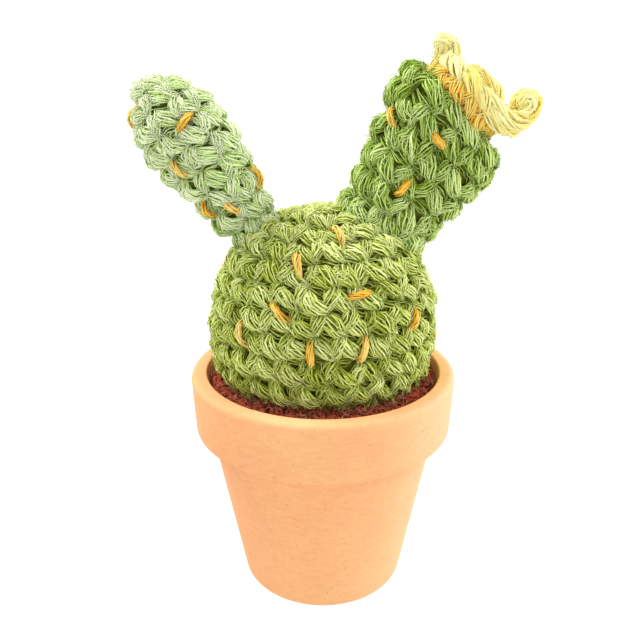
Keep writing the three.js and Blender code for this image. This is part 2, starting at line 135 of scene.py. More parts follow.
def soil_outline():
    edge = inside_radius(SOIL_EDGE) - SOIL_INSET
    points = []
    for i in range(SIDE_STEPS + 1):
        share = i / SIDE_STEPS
        points.append((edge * share, SOIL_TOP + (SOIL_EDGE - SOIL_TOP) * share ** 2))
    points.append((inside_radius(SOIL_FOOT) - SOIL_INSET, SOIL_FOOT))
    return points


def smooth_line(points, steps=24):
    """Many points on a smooth line through the given ones."""
    given = np.array(points, float)
    last = len(given) - 1
    line = [given[0]]
    for i in range(last):
        before, start, end, after = given[max(i - 1, 0)], given[i], given[i + 1], given[min(i + 2, last)]
        away, towards = (end - before) / 2, (after - start) / 2
        for step in range(1, steps + 1):
            t = step / steps
            line.append((2 * start - 2 * end + away + towards) * t ** 3
                        + (-3 * start + 3 * end - 2 * away - towards) * t ** 2 + away * t + start)
    return np.array(line)


class Pad:
    """A surface crocheted in the round, and the spines sewn to it."""

    def __init__(self, outline, foot=(0, 0, 0), lean=0.0, depth=1.0, length=1.0, bend=0.0, shift=0.0,
                 stitch=STITCH):
        self.line = smooth_line(outline)
        self.travel = np.concatenate([[0], np.cumsum(np.linalg.norm(np.diff(self.line, axis=0), axis=1))])
        self.reach = self.travel[-1]
        self.foot = np.array(foot, float)
        self.axis = np.array([math.sin(lean), 0, math.cos(lean)])
        self.back = np.array([0.0, 1, 0])
        self.across = np.cross(self.back, self.axis)
        self.lean, self.depth, self.length, self.bend, self.shift = lean, depth, length, bend, shift
        self.stitch = stitch
        self.rounds = round(self.reach / stitch)
        self.round_height = self.reach / self.rounds
        self.spines = []

    def half_width(self, distance):
        return np.interp(distance, self.travel, self.line[:, 0])

    def fabric(self, distance, angle):
        """Points on the fabric, at distances from the tip and angles round it (-90 degrees faces front)."""
        distance = np.clip(distance, 0, self.reach)
        half = self.half_width(distance)
        height = np.interp(distance, self.travel, self.line[:, 1])
        share = np.maximum(height / self.length, 0)
        sideways = half * np.cos(angle) + self.shift * share ** 3
        rise = height - sideways * self.bend * share ** 2
        deep = half * self.depth * np.sin(angle)
        return (self.foot + self.across * sideways[..., None] + self.back * deep[..., None]
                + self.axis * rise[..., None])

    def normal(self, distance, angle):
        """Which way the fabric faces."""
        distance = np.maximum(distance, NORMAL_STEP)
        turn = NORMAL_STEP / np.maximum(self.half_width(distance), 1)
        down = self.fabric(distance + NORMAL_STEP, angle) - self.fabric(distance - NORMAL_STEP, angle)
        round_ = self.fabric(distance, angle + turn) - self.fabric(distance, angle - turn)
        outward = np.cross(down, round_)
        return outward / np.linalg.norm(outward, axis=-1, keepdims=True)

    def pull(self, points):
        """How far the spines draw the fabric in at some points."""
        drawn = np.zeros(points.shape[:-1])
        for spine in self.spines:
            along = np.clip((points - spine["start"]) @ spine["along"], 0, spine["length"])
            nearest = spine["start"] + along[..., None] * spine["along"]
            apart = np.linalg.norm(points - nearest, axis=-1)
            drawn = np.maximum(drawn, SPINE_PULL * np.exp(-(apart / PULL_REACH) ** 2))
        return drawn

    def raised(self, distance, angle, height):
        """Points over the fabric, and which way it faces there."""
        points = self.fabric(distance, angle)
        outward = self.normal(distance, angle)
        return points + outward * (height - self.pull(points))[..., None], outward

    def stitches(self, row):
        if row == 0:
            return FIRST_ROUND
        half = float(self.half_width((row + 0.5) * self.round_height))
        around = FULL_TURN * half * math.sqrt((1 + self.depth ** 2) / 2)
        return max(FIRST_ROUND, round(around / self.stitch))

    def sew(self, length, places):
        """Notes spines: their rounds from the tip, angles and slants in degrees."""
        for row, degrees, slant in places:
            distance, angle = np.array(row * self.round_height), np.array(math.radians(degrees))
            middle, outward = self.fabric(distance, angle), self.normal(distance, angle)
            down = self.fabric(distance + NORMAL_STEP, angle) - self.fabric(distance - NORMAL_STEP, angle)
            down /= np.linalg.norm(down)
            turn = math.radians(slant)
            along = down * math.cos(turn) + np.cross(outward, down) * math.sin(turn)
            self.spines.append({"start": middle - along * length / 2, "along": along, "length": length,
                                "outward": outward})


main_pad = Pad(main_outline(), depth=PAD_DEPTH, length=PAD_WIDEST + PAD_RISE)
left_pad = Pad(side_outline(5.2, 9.9, 24, 39.2, swell=0.6, sunk=4, squareness=1.8),
               foot=(-16.3, 0, 91.8), lean=math.radians(-34), depth=0.72, length=39.2, shift=-1.5)
right_pad = Pad(side_outline(10.2, 14.9, 23, 30.0, swell=0.9, sunk=5, squareness=2.8),
                foot=(14.4, 0, 93.9), lean=math.radians(34), depth=0.6, length=30.0,
                bend=math.tan(math.radians(12)), shift=-2.0)
soil = Pad(soil_outline(), length=SOIL_TOP)

main_pad.sew(SPINE_LENGTH, [
    (2.5, -76, 8), (4.0, -106, 19), (5.3, -71, 96), (6.0, -112, 49), (7.2, -134, 20),
    (7.6, -96, 4), (7.5, -71, -14), (6.7, -39, -33), (8.2, -6, 0),
    (2.8, 80, -20), (4.2, 112, 25), (4.5, 50, 70), (5.6, 84, 5), (6.4, 22, -25),
    (6.3, 128, 85), (7.5, 62, 15), (7.7, 104, -30), (5.3, 168, 10), (7.4, 160, 40),
])
left_pad.sew(SHORT_SPINE, [
    (3.0, -72, 100), (1.6, -172, -15), (4.4, -120, 7), (6.4, -134, -8), (6.9, -93, 25), (6.5, -10, -10),
    (3.4, 70, 30), (4.6, 118, -15), (5.9, 82, 60),
])
right_pad.sew(SHORT_SPINE, [
    (4.0, -149, 42), (3.6, -95, 69), (5.7, -99, 170),
    (3.4, 130, 20), (4.1, 72, -40), (5.2, 112, 15), (5.6, 50, 80),
])


# Node trees

def link(tree, value, socket):
    """Feeds a socket from another socket, or gives it a plain value."""
    if isinstance(value, bpy.types.NodeSocket):
        tree.links.new(value, socket)
    else:
        socket.default_value = value


def node(tree, kind, feeds=(), **settings):
    """Adds a node. Its feeds are pairs of an input's name or number and what goes in."""
    made = tree.nodes.new(kind)
    for key, value in settings.items():
        setattr(made, key, value)
    for key, value in feeds:
        link(tree, value, made.inputs[key])
    return made


def sum_of(tree, operation, first, second=0.0, third=None):
    """A math node's result."""
    feeds = [(0, first), (1, second)] + ([] if third is None else [(2, third)])
    kind = "ShaderNodeMath"
    return node(tree, kind, feeds, operation=operation).outputs[0]


def vector_of(tree, operation, first, second=None, scale=None):
    """A vector math node's result."""
    feeds = [(0, first)]
    if second is not None:
        feeds.append((1, second))
    if scale is not None:
        feeds.append(("Scale", scale))
    made = node(tree, "ShaderNodeVectorMath", feeds, operation=operation)
    return made.outputs["Value" if operation == "DOT_PRODUCT" else "Vector"]


def stored(tree, name, data_type):
    """Reads a named attribute in a Geometry Nodes tree."""
    return node(tree, "GeometryNodeInputNamedAttribute", [("Name", name)], data_type=data_type).outputs[0]


def store(tree, geometry, name, value, data_type):
    feeds = [("Geometry", geometry), ("Name", name), ("Value", value)]
    return node(tree, "GeometryNodeStoreNamedAttribute", feeds, data_type=data_type,
                domain="POINT").outputs[0]


def geometry_tree(name, inputs):
    """A new Geometry Nodes tree, its named inputs by name, and its group output."""
    tree = bpy.data.node_groups.new(name, "GeometryNodeTree")
    tree.interface.new_socket("Geometry", in_out="INPUT", socket_type="NodeSocketGeometry")
    for label, kind in inputs:
        tree.interface.new_socket(label, in_out="INPUT", socket_type=kind)
    tree.interface.new_socket("Geometry", in_out="OUTPUT", socket_type="NodeSocketGeometry")
    return tree, tree.nodes.new("NodeGroupInput").outputs, tree.nodes.new("NodeGroupOutput")


def finish_tree(tree, geometry, material, group_output):
    """Every tree ends in Realize Instances and Set Material."""
    real = node(tree, "GeometryNodeRealizeInstances", [("Geometry", geometry)])
    painted = node(tree, "GeometryNodeSetMaterial", [("Geometry", real.outputs[0]), ("Material", material)])
    tree.links.new(painted.outputs[0], group_output.inputs[0])


def yarn_tree():
    """Sweeps a round section along chains of points, and notes which way each part of a strand faces."""
    tree, given, group_output = geometry_tree("yarn", [
        ("Radius", "NodeSocketFloat"), ("Sides", "NodeSocketInt"), ("Steps", "NodeSocketInt"),
        ("Material", "NodeSocketMaterial")])
    chain = node(tree, "GeometryNodeMeshToCurve", [("Mesh", given["Geometry"])])
    curve = node(tree, "GeometryNodeCurveSplineType", [("Curve", chain.outputs[0])],
                 spline_type="CATMULL_ROM")
    curve = node(tree, "GeometryNodeResampleCurve", [("Curve", curve.outputs[0]), ("Count", given["Steps"])])
    middle = node(tree, "GeometryNodeCaptureAttribute", [("Geometry", curve.outputs[0])])
    middle.capture_items.new("VECTOR", "middle")
    place = node(tree, "GeometryNodeInputPosition").outputs[0]
    link(tree, place, middle.inputs["middle"])
    length = node(tree, "GeometryNodeSplineParameter").outputs["Length"]
    start = sum_of(tree, "MULTIPLY", stored(tree, "shade", "FLOAT"), 400.0)
    along = sum_of(tree, "MULTIPLY_ADD", length, 1 / METRES, start)
    curve = store(tree, middle.outputs["Geometry"], "along", along, "FLOAT")
    ring = node(tree, "GeometryNodeCurvePrimitiveCircle", [("Resolution", given["Sides"]), ("Radius", 1.0)])
    ring = store(tree, ring.outputs[0], "around", place, "FLOAT_VECTOR")
    radius = sum_of(tree, "MULTIPLY", stored(tree, "thick", "FLOAT"), given["Radius"])
    yarn = node(tree, "GeometryNodeCurveToMesh",
                [("Curve", curve), ("Profile Curve", ring), ("Scale", radius), ("Fill Caps", True)])
    offset = vector_of(tree, "SUBTRACT", place, middle.outputs["middle"])
    height = vector_of(tree, "DOT_PRODUCT", offset, stored(tree, "outward", "FLOAT_VECTOR"))
    crest = sum_of(tree, "MULTIPLY_ADD", sum_of(tree, "DIVIDE", height, radius), 0.5, 0.5)
    noted = store(tree, yarn.outputs[0], "crest", crest, "FLOAT")
    smooth = node(tree, "GeometryNodeSetShadeSmooth", [("Geometry", noted)])
    finish_tree(tree, smooth.outputs[0], given["Material"], group_output)
    return tree


YARN = yarn_tree()


def grown(obj, tree, **settings):
    """Applies a tree to an object: its result becomes the object's own mesh."""
    modifier = obj.modifiers.new(tree.name, "NODES")
    modifier.node_group = tree
    identifiers = {item.name: item.identifier for item in tree.interface.items_tree
                   if item.item_type == "SOCKET" and item.in_out == "INPUT"}
    for label, value in settings.items():
        modifier[identifiers[label]] = value
    depsgraph = bpy.context.evaluated_depsgraph_get()
    mesh = bpy.data.meshes.new_from_object(obj.evaluated_get(depsgraph), preserve_all_data_layers=True,
                                           depsgraph=depsgraph)
    obj.modifiers.clear()
    obj.data = mesh
    return obj


def new_object(name, vertices, edges=(), faces=()):
    """An object whose place is in its mesh. Vertices come in millimetres, from the pot's axis."""
    mesh = bpy.data.meshes.new(name)
    placed = (np.asarray(vertices, float).reshape(-1, 3) + POT_AXIS) * METRES
    mesh.from_pydata(placed.tolist(), edges, faces)
    obj = bpy.data.objects.new(name, mesh)
    bpy.context.scene.collection.objects.link(obj)
    return obj


def chains(name, strands):
    """Chains of points for the yarn tree. Each strand is (points, outward, thickness, lift, shade)."""
    edges, start = [], 0
    for strand in strands:
        edges += [(start + i, start + i + 1) for i in range(len(strand[0]) - 1)]
        start += len(strand[0])
    obj = new_object(name, np.concatenate([strand[0] for strand in strands]), edges)
    values = {"outward": np.concatenate([strand[1] for strand in strands]),
              "thick": np.concatenate([strand[2] for strand in strands]),
              "lift": np.concatenate([strand[3] for strand in strands]),
              "shade": np.concatenate([np.full(len(strand[0]), strand[4]) for strand in strands])}
    for label, value in values.items():
        kind, key = ("FLOAT_VECTOR", "vector") if value.ndim == 2 else ("FLOAT", "value")
        obj.data.attributes.new(label, kind, "POINT").data.foreach_set(key, value.astype(np.float32).ravel())
    return obj


def joined(name, objects):
    """Makes several objects one."""
    with bpy.context.temp_override(active_object=objects[0], object=objects[0],
                                   selected_objects=objects, selected_editable_objects=objects):
        bpy.ops.object.join()
    objects[0].name = name
    return objects[0]


# Materials

def material(name):
    made = bpy.data.materials.new(name)
    made.use_nodes = True
    tree = made.node_tree
    return made, tree, tree.nodes["Principled BSDF"]


def ramp(tree, factor, stops):
    """Colours along a scale, each (place, red, green, blue)."""
    made = node(tree, "ShaderNodeValToRGB", [(0, factor)])
    marks = made.color_ramp.elements
    while len(marks) < len(stops):
        marks.new(0.5)
    for mark, (place, *colour) in zip(marks, stops):
        mark.position = place
        mark.color = (*colour, 1)
    return made.outputs[0]


def noise(tree, vector, scale, detail=2.0, roughness=0.5):
    return node(tree, "ShaderNodeTexNoise", [("Vector", vector), ("Scale", scale), ("Detail", detail),
                                             ("Roughness", roughness)]).outputs[0]


def mixed(tree, blend, factor, first, second):
    """Two colours blended."""
    return node(tree, "ShaderNodeMix", [(0, factor), (6, first), (7, second)], data_type="RGBA",
                blend_type=blend).outputs[2]


def attribute(tree, name, output="Fac"):
    return node(tree, "ShaderNodeAttribute", attribute_name=name).outputs[output]


def yarn_material(name, stops, tone=0.4, sheen=0.25):
    """Strands of yarn: painted shade where they meet and painted light along their crests, with fine fibres along them.
    """
    made, tree, shader = material(name)
    apart = node(tree, "ShaderNodeSeparateXYZ", [(0, attribute(tree, "around", "Vector"))])
    fine = node(tree, "ShaderNodeCombineXYZ",
                [(0, sum_of(tree, "MULTIPLY", apart.outputs[0], 2.0)),
                 (1, sum_of(tree, "MULTIPLY", apart.outputs[1], 2.0)),
                 (2, sum_of(tree, "MULTIPLY", attribute(tree, "along"), 1.4))])
    fibres = noise(tree, fine.outputs[0], 1.0, 3.0, 0.6)
    place = node(tree, "ShaderNodeTexCoord").outputs["Object"]
    # Painted light and shade: a strand is lighter where it faces out (crest) and where it lies high round its yarn
    # (lift), and darker where it faces in or lies low; the shade attribute adds random tone and the painted light and
    # shade given per pad and per part
    value = sum_of(tree, "MULTIPLY_ADD", attribute(tree, "crest"), 0.36, -0.57)
    value = sum_of(tree, "MULTIPLY_ADD", attribute(tree, "lift"), 0.30, value)
    value = sum_of(tree, "MULTIPLY_ADD", fibres, 0.8, value)
    value = sum_of(tree, "MULTIPLY_ADD", noise(tree, place, 260.0), 0.25, value)
    value = sum_of(tree, "MULTIPLY_ADD", attribute(tree, "shade"), tone, value)
    link(tree, ramp(tree, value, stops), shader.inputs["Base Color"])
    shader.inputs["Roughness"].default_value = 0.9
    shader.inputs["Specular IOR Level"].default_value = 0.1
    shader.inputs["Sheen Weight"].default_value = sheen
    shader.inputs["Sheen Roughness"].default_value = 0.45
    shader.inputs["Sheen Tint"].default_value = (*stops[-1][1:], 1)
    bump = node(tree, "ShaderNodeBump", [("Height", fibres), ("Strength", 0.6), ("Distance", 0.0003)])
    link(tree, bump.outputs[0], shader.inputs["Normal"])
    return made


# One green yarn in three copies: the main pad's; a paler, hazier one for the left pad as painted light; and a cooler,
# slightly darker one for the right pad as painted shade
green = yarn_material("green_yarn", [
    (0.08, 0.050, 0.055, 0.001), (0.29, 0.22, 0.27, 0.008), (0.52, 0.58, 0.70, 0.11), (0.86, 0.93, 1.00, 0.42)])
lit_green = yarn_material("pale_green_yarn", [
    (0.00, 0.060, 0.090, 0.002), (0.17, 0.31, 0.44, 0.060), (0.38, 0.70, 0.94, 0.32), (0.70, 0.93, 1.00, 0.68)])
shaded_green = yarn_material("deep_green_yarn", [
    (0.08, 0.040, 0.055, 0.001), (0.29, 0.18, 0.27, 0.010), (0.52, 0.49, 0.70, 0.12), (0.86, 0.86, 1.00, 0.44)])
gold = yarn_material("gold_yarn", [
    (0.08, 0.58, 0.22, 0.008), (0.32, 0.86, 0.42, 0.020), (0.56, 0.97, 0.61, 0.080), (0.85, 1.00, 0.80, 0.28)])
brown = yarn_material("brown_yarn", [
    (0.10, 0.10, 0.012, 0.004), (0.34, 0.35, 0.055, 0.022), (0.60, 0.54, 0.14, 0.08), (0.92, 0.72, 0.36, 0.25)],
    sheen=0.12)
# The yellow yarn's low end is orange, the colour its painted shade takes
yellow = yarn_material("yellow_yarn", [
    (0.08, 1.00, 0.40, 0.015), (0.30, 1.00, 0.58, 0.055), (0.58, 0.96, 0.79, 0.18), (0.95, 0.95, 0.89, 0.42)],
    tone=0.55, sheen=0.05)


def dark_material(name, colour):
    """A body under the fabric, seen through the gaps between its stitches: for the yarn a dark colour, painted shade in
    those gaps; for the stuffing its own colour.
    """
    made, tree, shader = material(name)
    place = node(tree, "ShaderNodeTexCoord").outputs["Object"]
    grain = noise(tree, place, 900.0, 3.0)
    deep = tuple(c * 0.4 for c in colour)
    link(tree, ramp(tree, grain, [(0.3, *deep), (0.7, *colour)]), shader.inputs["Base Color"])
    shader.inputs["Roughness"].default_value = 0.95
    shader.inputs["Specular IOR Level"].default_value = 0.1
    return made


# Painted shade: dark bodies under the yarn, standing in for the shade in the gaps between stitches; the flower's is the
# orange its yellow yarn takes in shade
green_gap_shade = dark_material("green_gap_shade", (0.18, 0.21, 0.016))
brown_gap_shade = dark_material("brown_gap_shade", (0.09, 0.016, 0.007))
yellow_gap_shade = dark_material("yellow_gap_shade", (0.80, 0.30, 0.02))


def clay_material():
    """Unglazed terracotta: painted light on its right side, painted shade on its left, painted light on its inner wall,
    turning marks, fine grains and a few dark specks.
    """
    made, tree, shader = material("clay")
    place = node(tree, "ShaderNodeTexCoord").outputs["Object"]
    apart = node(tree, "ShaderNodeSeparateXYZ", [(0, place)]).outputs
    cloud = noise(tree, place, 35.0, 4.0, 0.6)
    colour = ramp(tree, cloud, [(0.30, 0.85, 0.41, 0.175), (0.70, 0.91, 0.49, 0.225)])
    # Painted light: the clay turns lighter and yellower towards its right side, where the key light falls
    bloom = node(tree, "ShaderNodeMapRange", [("Value", apart[0]), ("From Min", 0.004), ("From Max", 0.030)],
                 interpolation_type="SMOOTHSTEP").outputs[0]
    colour = mixed(tree, "MIX", sum_of(tree, "MULTIPLY", bloom, 0.55), colour, (0.88, 0.60, 0.36, 1))
    shadow = node(tree, "ShaderNodeMapRange", [("Value", apart[0]), ("From Min", -0.008), ("From Max", -0.026)],
                  interpolation_type="SMOOTHSTEP").outputs[0]
    colour = mixed(tree, "MIX", sum_of(tree, "MULTIPLY", shadow, 0.60), colour, (0.78, 0.34, 0.15, 1))
    # Painted light: the inner wall above the soil is a brighter, deeper orange, standing in for light reaching into the
    # pot
    far = sum_of(tree, "SQRT", sum_of(tree, "MULTIPLY_ADD", apart[1], apart[1],
                                      sum_of(tree, "MULTIPLY", apart[0], apart[0])))
    inner = node(tree, "ShaderNodeMapRange", [("Value", far), ("From Min", 0.0292), ("From Max", 0.0282)]).outputs[0]
    above = node(tree, "ShaderNodeMapRange", [("Value", apart[2]), ("From Min", 0.042), ("From Max", 0.044)]).outputs[0]
    colour = mixed(tree, "MIX", sum_of(tree, "MULTIPLY", inner, above), colour, (1.0, 0.52, 0.20, 1))
    streaks = node(tree, "ShaderNodeMapping", [("Vector", place), ("Scale", (1.0, 1.0, 2.5))]).outputs[0]
    marks = noise(tree, streaks, 420.0, 5.0, 0.75)
    colour = mixed(tree, "MULTIPLY", 1.0, colour, ramp(tree, marks, [(0.32, 0.92, 0.88, 0.84), (0.58, 1, 1, 1)]))
    grains = noise(tree, place, 1500.0, 2.0, 0.6)
    specks = ramp(tree, grains, [(0.24, 0.66, 0.62, 0.60), (0.34, 1, 1, 1)])
    link(tree, mixed(tree, "MULTIPLY", 1.0, colour, specks), shader.inputs["Base Color"])
    shader.inputs["Roughness"].default_value = 0.8
    shader.inputs["Specular IOR Level"].default_value = 0.25
    rough = sum_of(tree, "MULTIPLY_ADD", marks, 0.5, grains)
    bump = node(tree, "ShaderNodeBump", [("Height", rough), ("Strength", 0.3), ("Distance", 0.0002)])
    link(tree, bump.outputs[0], shader.inputs["Normal"])
    return made


clay = clay_material()
stuffing = dark_material("stuffing", (0.80, 0.78, 0.72))


# Crochet

# What a stitch shows of its yarn, each point as (stitches to the right of the stitch's middle, rounds
# below its upper groove, height over the fabric, width share)
LONG_LEG = [(-0.56, 0.10, -2.3, 0.85), (-0.45, 0.27, -0.6, 1.1), (-0.24, 0.46, 0.2, 1.2),
            (0.01, 0.63, 0.1, 1.05), (0.21, 0.76, -0.8, 0.75), (0.33, 0.87, -2.3, 0.45)]
SHORT_LEG = [(0.50, -0.10, -2.3, 0.85), (0.47, 0.07, -0.6, 1.1), (0.42, 0.28, 0.0, 1.15),
             (0.36, 0.48, -0.2, 0.95), (0.28, 0.67, -1.0, 0.7), (0.20, 0.82, -2.3, 0.45)]
BACK_LOOP = [(-0.80, 0.95, -1.9, 0.7), (-0.45, 0.93, -1.2, 1.0), (-0.10, 0.95, -1.2, 1.0),
             (0.25, 0.98, -1.9, 0.7)]
# Half the width and half the thickness of each, to the middles of their strands
LONG_HALF = (1.55, 0.95)
SHORT_HALF = (1.45, 0.90)
LOOP_HALF = (1.60, 0.60)
STRANDS = 15                # round one length of yarn
LOOP_STRANDS = 10
STRAND_RADIUS = 0.18
TUFT_RADIUS = 0.12
TUFTS = {LONG_HALF: 14, SHORT_HALF: 14, LOOP_HALF: 3}         # short fibres over one length of yarn
HAIRS = {LONG_HALF: 7, SHORT_HALF: 7, LOOP_HALF: 0}         # and those that stand off it
CRINKLE = 0.12              # how far strands stray from their helix
PLIES = (-0.42, 0.42)       # where the plies lie under the strands, as shares of the half-width
PLY_SHARE = 0.70            # a ply's radius, as a share of half the yarn's thickness
TWIST = 0.24                # radians a millimetre
LOWEST_SEEN = -0.2          # strands that lie lower round the yarn than this, as a cosine, are left out
WOBBLE = 0.065              # how unevenly the stitches lie, in stitches
# The height at which each pad's tone is the middle one, how much it lightens a millimetre above that, and how unevenly
# its stitches lie, in stitches. The lightening is painted light and shade: the main and left pads are lighter towards
# their tops, and the right pad is darker towards its top by the flower
PAD_TONES = {"main": (73, 0.020, WOBBLE), "left": (99, 0.022, 0.085), "right": (109, -0.024, 0.085)}
FIBRE_SLANT = 0.40          # how far short fibres turn from their yarn, in radians


def strands_round(points, outward, widths, half, chance, shade, twist=TWIST, count=STRANDS,
                  lowest=LOWEST_SEEN, free=False):
    """The strands of one length of yarn, laid round it in a helix. Free yarn is seen from all sides."""
    line = smooth_line(np.concatenate([points, outward, widths[:, None]], axis=1), 2)
    points, outward, widths = line[:, :3], line[:, 3:6], line[:, 6]
    outward = outward / np.linalg.norm(outward, axis=1, keepdims=True)
    ahead = np.gradient(points, axis=0)
    side = np.cross(ahead, outward)
    side /= np.linalg.norm(side, axis=1, keepdims=True)
    up = np.cross(side, ahead)
    up /= np.linalg.norm(up, axis=1, keepdims=True)
    travel = np.concatenate([[0], np.cumsum(np.linalg.norm(np.diff(points, axis=0), axis=1))])
    first = chance.random() * FULL_TURN
    strands = []
    for k in range(count):
        lay = twist * (1 + chance.normal(0, 0.35))
        turn = first + (k + chance.normal(0, 0.12)) / count * FULL_TURN
        turn = turn + lay * (travel - travel[-1] / 2)
        lift = np.cos(turn)
        if lift.mean() < lowest:
            continue
        thick = (1 + chance.normal(0, 0.18)) * np.clip(widths, 0.55, 1.1) * (1 + chance.normal(0, 0.15, len(points)))
        stray = chance.normal(0, CRINKLE, (2, len(points)))
        place = (points + side * (np.sin(turn) * widths * half[0] + stray[0])[:, None]
                 + up * (lift * half[1] + stray[1] + chance.normal(0, 0.07))[:, None])
        tone = float(np.clip(shade + chance.normal(0, 0.18), 0, 1))
        # Each strand's lift goes to the material as painted shade: strands lying low round their yarn are darker; free
        # yarn, seen from all sides, is darkened less
        if free:
            around = side * np.sin(turn)[:, None] + up * lift[:, None]
            strands.append((place, around, thick, 0.7 + 0.3 * lift, tone))
        else:
            strands.append((place, outward, thick, np.clip(lift, 0, 1), tone))
    return strands


def stitch_lines(pad, seed, hidden=None, first=0, wobble=WOBBLE, middle=0, lighter=0):
    """Each length of yarn that a pad's stitches show: its points, facing, widths, half sizes and tone, which holds
    painted light and shade.
    """
    chance = np.random.default_rng(seed)
    for row in range(first, pad.rounds):
        count = pad.stitches(row)
        start = (pad.rounds - row) * SLANT
        for stitch in range(count):
            nudge = chance.normal(0, wobble, 2)
            lift = chance.normal(0, 0.25)
            plump = 1 + chance.normal(0, 0.09)
            # The back loops lie in the grooves between rounds; cutting their tone to a fifth is painted shade
            for leg, half, tone in ((LONG_LEG, LONG_HALF, 1.0), (SHORT_LEG, SHORT_HALF, 1.0),
                                    (BACK_LOOP, LOOP_HALF, 0.2)):
                shape = np.array(leg)
                bend = chance.normal(0, wobble * 0.7, (len(leg), 2))
                across = stitch + shape[:, 0] + nudge[0] + bend[:, 0] + start
                distance = (row + shape[:, 1] + nudge[1] + bend[:, 1]) * pad.round_height
                points, outward = pad.raised(np.maximum(distance, 0.1), across / count * FULL_TURN - math.pi / 2,
                                             shape[:, 2] + lift)
                # Painted light and shade: a random tone, raised or lowered with height by the pad's slope
                shade = (chance.random() + lighter * (points[2, 2] - middle)) * tone
                if hidden is None or not hidden(points).all():
                    yield points, outward, shape[:, 3] * plump, half, shade


def crochet_strands(lines, seed):
    """The strands of every length of yarn."""
    chance = np.random.default_rng(seed + 100)
    strands = []
    for points, outward, widths, half, shade in lines:
        count = LOOP_STRANDS if half is LOOP_HALF else STRANDS
        strands += strands_round(points, outward, widths, half, chance, shade, count=count)
    return strands


def plies(lines):
    """The plies under the strands of every length of yarn, with no lift and a fifth of its shade, as painted shade
    between the strands.
    """
    strands = []
    for points, outward, widths, half, shade in lines:
        side = np.cross(np.gradient(points, axis=0), outward)
        side /= np.linalg.norm(side, axis=1, keepdims=True)
        for share in PLIES:
            place = points + side * (share * widths * half[0])[:, None]
            strands.append((place, outward, widths * half[1] * PLY_SHARE, np.full(len(points), 0.0), shade * 0.2))
    return strands


def short_fibres(lines, seed, counts, length, rise, low=0.0):
    """Short fibres over each length of yarn, a little askew. One end of each stands off it."""
    chance = np.random.default_rng(seed + 200)
    strands = []
    for points, outward, widths, half, shade in lines:
        line = smooth_line(np.concatenate([points, outward, widths[:, None]], axis=1), 4)
        ahead = np.gradient(line[:, :3], axis=0)
        ahead /= np.linalg.norm(ahead, axis=1, keepdims=True)
        side = np.cross(ahead, line[:, 3:6])
        side /= np.linalg.norm(side, axis=1, keepdims=True)
        up = np.cross(side, ahead)
        for _ in range(counts[half]):
            spot = chance.integers(2, len(line) - 2)
            across, slant = chance.uniform(-1, 1), chance.normal(0, FIBRE_SLANT)
            reach = length * chance.uniform(0.6, 1.3)
            steps = np.linspace(-0.5, 0.5, 4) * reach
            middle = line[spot, 6] * half[0]
            aside = np.clip(across + (steps * math.sin(slant) + chance.normal(0, 0.05, 4)) / middle, -1.05, 1.05)
            lifted = half[1] * np.sqrt(np.maximum(1 - aside ** 2, 0)) + low
            lifted += np.linspace(0, chance.exponential(rise), 4) + chance.normal(0, 0.04, 4)
            lifted[0] -= 0.15
            bow = (np.linspace(-0.5, 0.5, 4) * reach) ** 2 * 0.06
            place = (line[spot, :3] + ahead[spot] * (steps * math.cos(slant))[:, None]
                     + side[spot] * (aside * middle)[:, None] + up[spot] * (lifted - bow)[:, None])
            tone = float(np.clip(shade + chance.normal(0, 0.35), 0, 1))
            # Fibres towards the yarn's sides get a lower lift: painted shade
            strands.append((place, np.tile(line[spot, 3:6], (4, 1)), np.array([0.6, 1.0, 0.9, 0.45]),
                            np.clip(1.1 - aside ** 2, 0.1, 1), tone))
    return strands


def inside_main_pad(points, margin=2.6):
    """Whether points lie deep in the main pad."""
    heights = main_pad.line[::-1, 1]
    half = np.interp(points[:, 2], heights, main_pad.line[::-1, 0]) - margin
    across = (points[:, 0] / np.maximum(half, 0.1)) ** 2
    deep = (points[:, 1] / np.maximum(half * PAD_DEPTH, 0.1)) ** 2
    return (across + deep < 1) & (points[:, 2] < heights.max() - margin)


def core(name, pad, inset, finish, steps=40):
    """A closed, smooth body just under a pad's yarn."""
    distances = np.linspace(0, pad.reach, pad.rounds * 3 + 1)[1:]
    angles = np.arange(steps) / steps * FULL_TURN
    grid, turns = np.meshgrid(distances, angles, indexing="ij")
    points, _ = pad.raised(grid, turns, np.full(grid.shape, -inset))
    tip, _ = pad.raised(np.array([0.0]), np.array([0.0]), np.array([-inset]))
    rows = len(distances)
    vertices = np.concatenate([points.reshape(-1, 3), tip, points[-1].mean(axis=0, keepdims=True)])
    faces = []
    for i in range(rows - 1):
        for j in range(steps):
            k = (j + 1) % steps
            faces.append((i * steps + j, (i + 1) * steps + j, (i + 1) * steps + k, i * steps + k))
    tip_index, foot_index = rows * steps, rows * steps + 1
    for j in range(steps):
        k = (j + 1) % steps
        faces.append((tip_index, j, k))
        faces.append((foot_index, (rows - 1) * steps + k, (rows - 1) * steps + j))
    obj = new_object(name, vertices, faces=faces)
    obj.data.materials.append(finish)
    obj.data.shade_smooth()
    return obj


def spun(name, strands, finish, radius=STRAND_RADIUS, sides=4, steps=6):
    """Yarn along some strands."""
    return grown(chains(name, strands), YARN, Radius=radius * METRES, Sides=sides, Steps=steps,
                 Material=finish)


def carried(obj, slot, *nodes):
    """Says what a finished piece rides on and which solids it stands for. Its slot is not used."""
    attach(obj, "root")
    if nodes:
        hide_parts(*nodes)
    return obj


